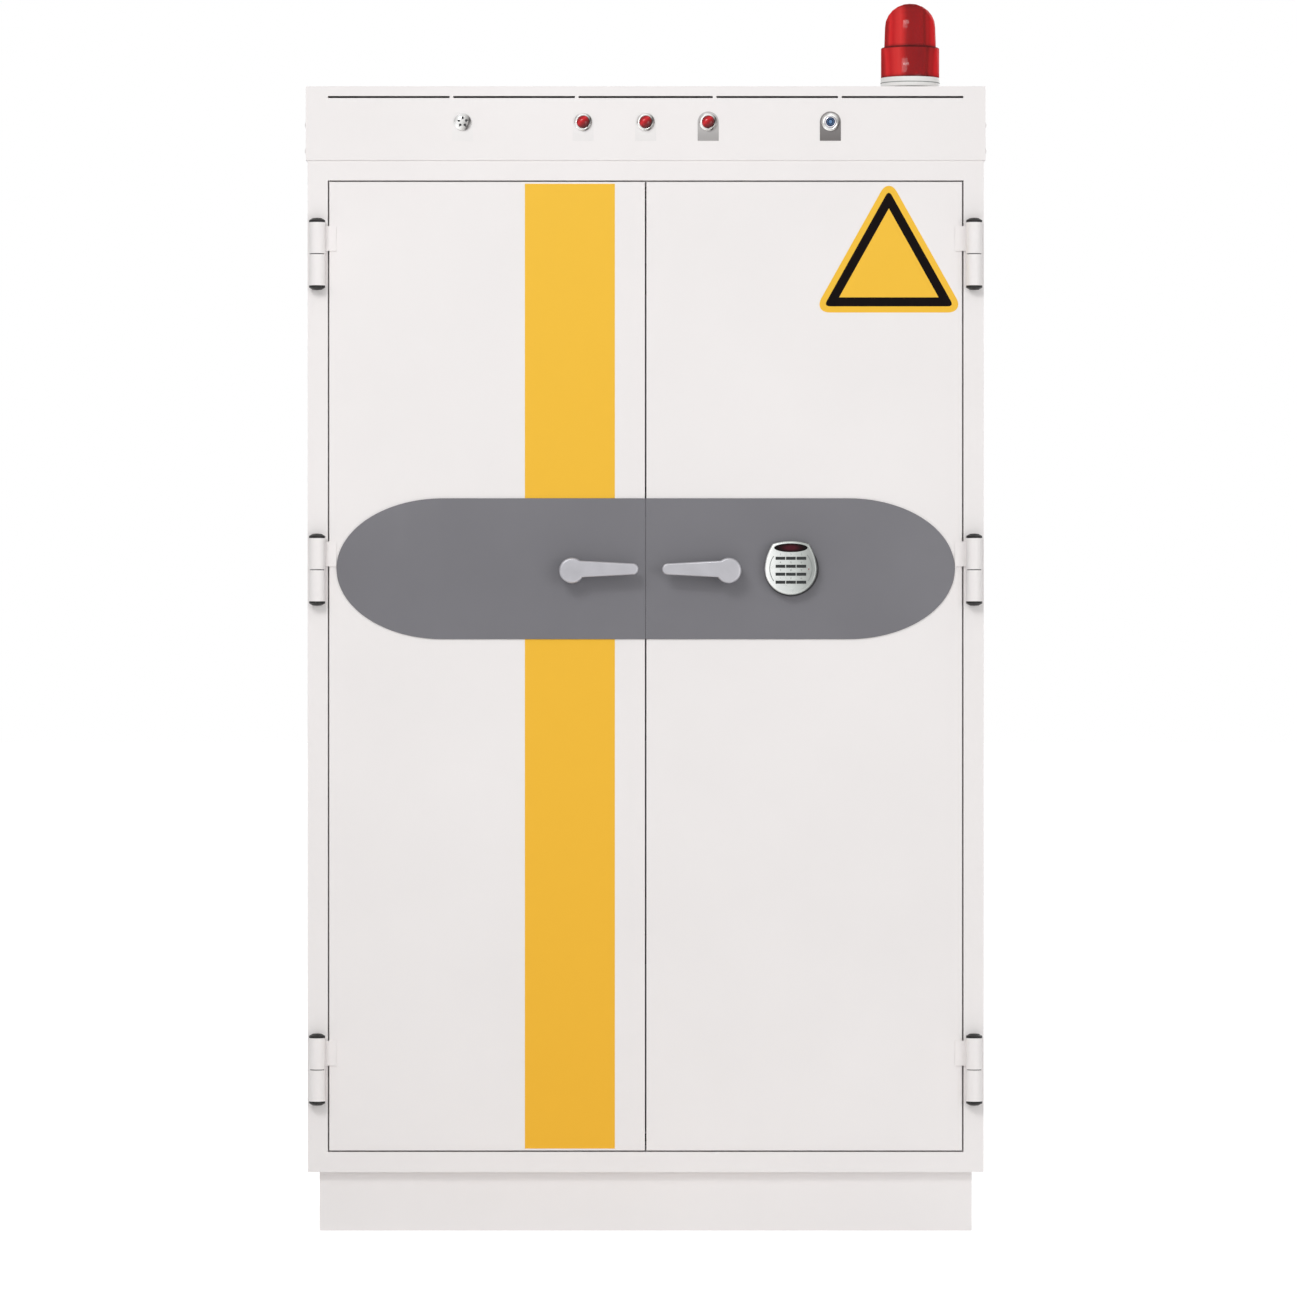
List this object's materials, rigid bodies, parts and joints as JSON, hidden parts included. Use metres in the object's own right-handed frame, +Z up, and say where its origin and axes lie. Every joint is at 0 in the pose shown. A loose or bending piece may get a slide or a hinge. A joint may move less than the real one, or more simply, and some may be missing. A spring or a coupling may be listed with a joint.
{
  "type": "battery cabinet",
  "caption": "Free-standing insulated cabinet with two hinged doors, lever handles driving lock rods, a keypad lock, a control header and a red dome beacon.",
  "frame": {"origin": "middle of the overall footprint, on the floor", "axes": "+Z up, +X to the right as seen from the front, +Y from the doors to the back"},
  "size_m": [1.2012, 0.6496, 2.169],
  "materials": {
    "white_powder_coat": "satin",
    "liner_coat": "satin",
    "fire_board": "matte",
    "door_core": "matte",
    "black_seal": "matte",
    "black_steel": "satin",
    "grey_panel": "satin",
    "lacquered_aluminium": "satin",
    "zinc_plated_steel": "satin",
    "satin_chrome_housing": "satin",
    "black_plastic": "matte",
    "key_plastic": "matte",
    "display_window": "gloss",
    "stainless_bezel": "polished",
    "red_lens": "gloss",
    "blue_button": "gloss",
    "grey_plastic": "matte",
    "white_plastic": "satin",
    "beacon_red": "gloss",
    "lamp_glass": "gloss",
    "mirror_reflector": "polished",
    "yellow_film": "satin",
    "black_film": "satin",
    "legend_plate": "satin"
  },
  "bodies": {
    "cabinet": {"plinth": "white_powder_coat", "casing": "white_powder_coat", "insulation_boards": "fire_board", "inner_liner": "liner_coat", "frame_seal": "black_seal", "shelf_uprights": "zinc_plated_steel", "shelves": "liner_coat", "socket_strips": "grey_plastic", "smoke_detector": "white_plastic", "frame_knuckles": "white_powder_coat", "hinge_pins": "black_steel", "header_housing": "white_powder_coat", "header_front": "white_powder_coat", "sounder": "stainless_bezel", "panel_bezels": "stainless_bezel", "lamp_lenses": "red_lens", "control_unit": "grey_plastic", "fan_frame": "black_plastic", "power_inlet": "black_plastic", "beacon_base": "white_plastic", "beacon_lens": "beacon_red", "beacon_lamp": "lamp_glass"},
    "left_door": {"left_door_skin": "white_powder_coat", "left_door_slab": "door_core", "left_door_knuckles": "white_powder_coat", "left_oval_panel": "grey_panel", "left_gearcase": "zinc_plated_steel"},
    "right_door": {"right_door_skin": "white_powder_coat", "right_door_slab": "door_core", "right_door_knuckles": "white_powder_coat", "right_oval_panel": "grey_panel", "right_gearcase": "zinc_plated_steel", "lock_case": "zinc_plated_steel", "keypad_base": "black_plastic", "keypad_housing": "satin_chrome_housing", "keypad_window": "display_window"},
    "left_lever": {"left_handle": "lacquered_aluminium", "left_spindle": "zinc_plated_steel"},
    "left_upper_rod": {"left_upper_rod": "zinc_plated_steel"},
    "left_lower_rod": {"left_lower_rod": "zinc_plated_steel"},
    "right_lever": {"right_handle": "lacquered_aluminium", "right_spindle": "zinc_plated_steel"},
    "right_upper_rod": {"right_upper_rod": "zinc_plated_steel"},
    "right_lower_rod": {"right_lower_rod": "zinc_plated_steel"},
    "lock_bolt": {"lock_bolt": "zinc_plated_steel"},
    "key_01": {"key_01": "key_plastic"},
    "key_02": {"key_02": "key_plastic"},
    "key_03": {"key_03": "key_plastic"},
    "key_04": {"key_04": "key_plastic"},
    "key_05": {"key_05": "key_plastic"},
    "key_06": {"key_06": "key_plastic"},
    "key_07": {"key_07": "key_plastic"},
    "key_08": {"key_08": "key_plastic"},
    "key_09": {"key_09": "key_plastic"},
    "key_10": {"key_10": "key_plastic"},
    "key_11": {"key_11": "key_plastic"},
    "key_12": {"key_12": "key_plastic"},
    "power_button": {"power_button": "blue_button"},
    "fan_rotor": {"fan_rotor": "black_plastic"},
    "beacon_reflector": {"beacon_reflector": "mirror_reflector"}
  },
  "joints": [
    {"name": "left_door_swing", "type": "hinge", "parent": "cabinet", "child": "left_door", "pos_m": [-0.5775, -0.29275, 1.165], "axis": [0, 0, -1], "range_deg": [0, 180]},
    {"name": "left_handle_turn", "type": "hinge", "parent": "left_door", "child": "left_lever", "pos_m": [-0.1295, -0.27775, 1.1635], "axis": [0, 1, 0], "range_deg": [0, 90]},
    {"name": "left_upper_rod_slide", "type": "slide", "parent": "left_door", "child": "left_upper_rod", "axis": [0, 0, 1], "range_m": [0, 0.01885]},
    {"name": "left_lower_rod_slide", "type": "slide", "parent": "left_door", "child": "left_lower_rod", "axis": [0, 0, -1], "range_m": [0, 0.01885]},
    {"name": "right_door_swing", "type": "hinge", "parent": "cabinet", "child": "right_door", "pos_m": [0.5775, -0.29275, 1.165], "axis": [0, 0, 1], "range_deg": [0, 180]},
    {"name": "right_handle_turn", "type": "hinge", "parent": "right_door", "child": "right_lever", "pos_m": [0.1456, -0.27775, 1.1635], "axis": [0, -1, 0], "range_deg": [0, 90]},
    {"name": "right_upper_rod_slide", "type": "slide", "parent": "right_door", "child": "right_upper_rod", "axis": [0, 0, 1], "range_m": [0, 0.01885]},
    {"name": "right_lower_rod_slide", "type": "slide", "parent": "right_door", "child": "right_lower_rod", "axis": [0, 0, -1], "range_m": [0, 0.01885]},
    {"name": "lock_bolt_slide", "type": "slide", "parent": "right_door", "child": "lock_bolt", "axis": [-1, 0, 0], "range_m": [0, 0.0065]},
    {"name": "key_01_press", "type": "slide", "parent": "right_door", "child": "key_01", "axis": [0, 1, 0], "range_m": [0, 0.0008], "stiffness_N_per_m": 400},
    {"name": "key_02_press", "type": "slide", "parent": "right_door", "child": "key_02", "axis": [0, 1, 0], "range_m": [0, 0.0008], "stiffness_N_per_m": 400},
    {"name": "key_03_press", "type": "slide", "parent": "right_door", "child": "key_03", "axis": [0, 1, 0], "range_m": [0, 0.0008], "stiffness_N_per_m": 400},
    {"name": "key_04_press", "type": "slide", "parent": "right_door", "child": "key_04", "axis": [0, 1, 0], "range_m": [0, 0.0008], "stiffness_N_per_m": 400},
    {"name": "key_05_press", "type": "slide", "parent": "right_door", "child": "key_05", "axis": [0, 1, 0], "range_m": [0, 0.0008], "stiffness_N_per_m": 400},
    {"name": "key_06_press", "type": "slide", "parent": "right_door", "child": "key_06", "axis": [0, 1, 0], "range_m": [0, 0.0008], "stiffness_N_per_m": 400},
    {"name": "key_07_press", "type": "slide", "parent": "right_door", "child": "key_07", "axis": [0, 1, 0], "range_m": [0, 0.0008], "stiffness_N_per_m": 400},
    {"name": "key_08_press", "type": "slide", "parent": "right_door", "child": "key_08", "axis": [0, 1, 0], "range_m": [0, 0.0008], "stiffness_N_per_m": 400},
    {"name": "key_09_press", "type": "slide", "parent": "right_door", "child": "key_09", "axis": [0, 1, 0], "range_m": [0, 0.0008], "stiffness_N_per_m": 400},
    {"name": "key_10_press", "type": "slide", "parent": "right_door", "child": "key_10", "axis": [0, 1, 0], "range_m": [0, 0.0008], "stiffness_N_per_m": 400},
    {"name": "key_11_press", "type": "slide", "parent": "right_door", "child": "key_11", "axis": [0, 1, 0], "range_m": [0, 0.0008], "stiffness_N_per_m": 400},
    {"name": "key_12_press", "type": "slide", "parent": "right_door", "child": "key_12", "axis": [0, 1, 0], "range_m": [0, 0.0008], "stiffness_N_per_m": 400},
    {"name": "power_button_press", "type": "slide", "parent": "cabinet", "child": "power_button", "axis": [0, 1, 0], "range_m": [0, 0.0025], "stiffness_N_per_m": 500},
    {"name": "fan_spin", "type": "hinge", "parent": "cabinet", "child": "fan_rotor", "pos_m": [0.43, 0.30825, 1.951], "axis": [0, 1, 0], "continuous": true},
    {"name": "beacon_turn", "type": "hinge", "parent": "cabinet", "child": "beacon_reflector", "pos_m": [0.4685, -0.19975, 2.0365], "axis": [0, 0, 1], "continuous": true}
  ],
  "couplings": [
    {"joint": "left_upper_rod_slide", "follows": "left_handle_turn", "m_per_rad": 0.012},
    {"joint": "left_lower_rod_slide", "follows": "left_handle_turn", "m_per_rad": 0.012},
    {"joint": "right_upper_rod_slide", "follows": "right_handle_turn", "m_per_rad": 0.012},
    {"joint": "right_lower_rod_slide", "follows": "right_handle_turn", "m_per_rad": 0.012}
  ]
}
